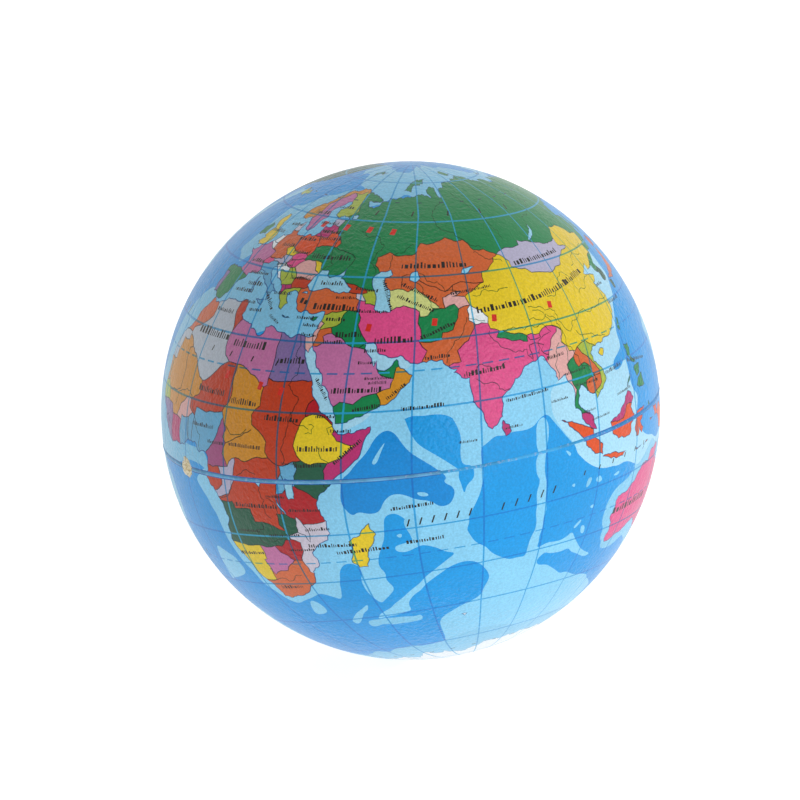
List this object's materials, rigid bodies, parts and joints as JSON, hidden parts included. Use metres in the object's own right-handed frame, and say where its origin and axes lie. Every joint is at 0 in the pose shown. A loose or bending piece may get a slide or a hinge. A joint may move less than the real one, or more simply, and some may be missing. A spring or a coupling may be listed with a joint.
{
  "type": "stress ball",
  "caption": "Round soft foam squeeze ball, moulded in two halves and printed all over as a world map globe.",
  "frame": {"origin": "centre of the ball", "axes": "+Z to the printed north pole, square to the parting line, which lies in the XY plane; -Y points at the Indian Ocean at 61 degrees east, and +X is east from there"},
  "size_m": [0.0764, 0.0764, 0.076],
  "materials": {
    "open_foam": "matte",
    "printed_skin": "satin",
    "flash_paint": "satin",
    "bare_foam": "matte"
  },
  "bodies": {
    "core": {"foam_core": "open_foam", "parting_flash": "flash_paint", "gate_stub": "bare_foam"},
    "north_half": {"north_skin": "printed_skin"},
    "south_half": {"south_skin": "printed_skin"}
  },
  "joints": [
    {"name": "squeeze", "type": "slide", "parent": "core", "child": "north_half", "axis": [0, 0, 1], "range_m": [-0.011, 0], "stiffness_N_per_m": 4000, "deforming": ["north_skin", "foam_core"]},
    {"name": "squeeze_south", "type": "slide", "parent": "core", "child": "south_half", "axis": [0, 0, 1], "range_m": [0, 0.011], "stiffness_N_per_m": 4000, "deforming": ["south_skin"]}
  ],
  "couplings": [
    {"joint": "squeeze_south", "follows": "squeeze", "ratio": -1}
  ]
}
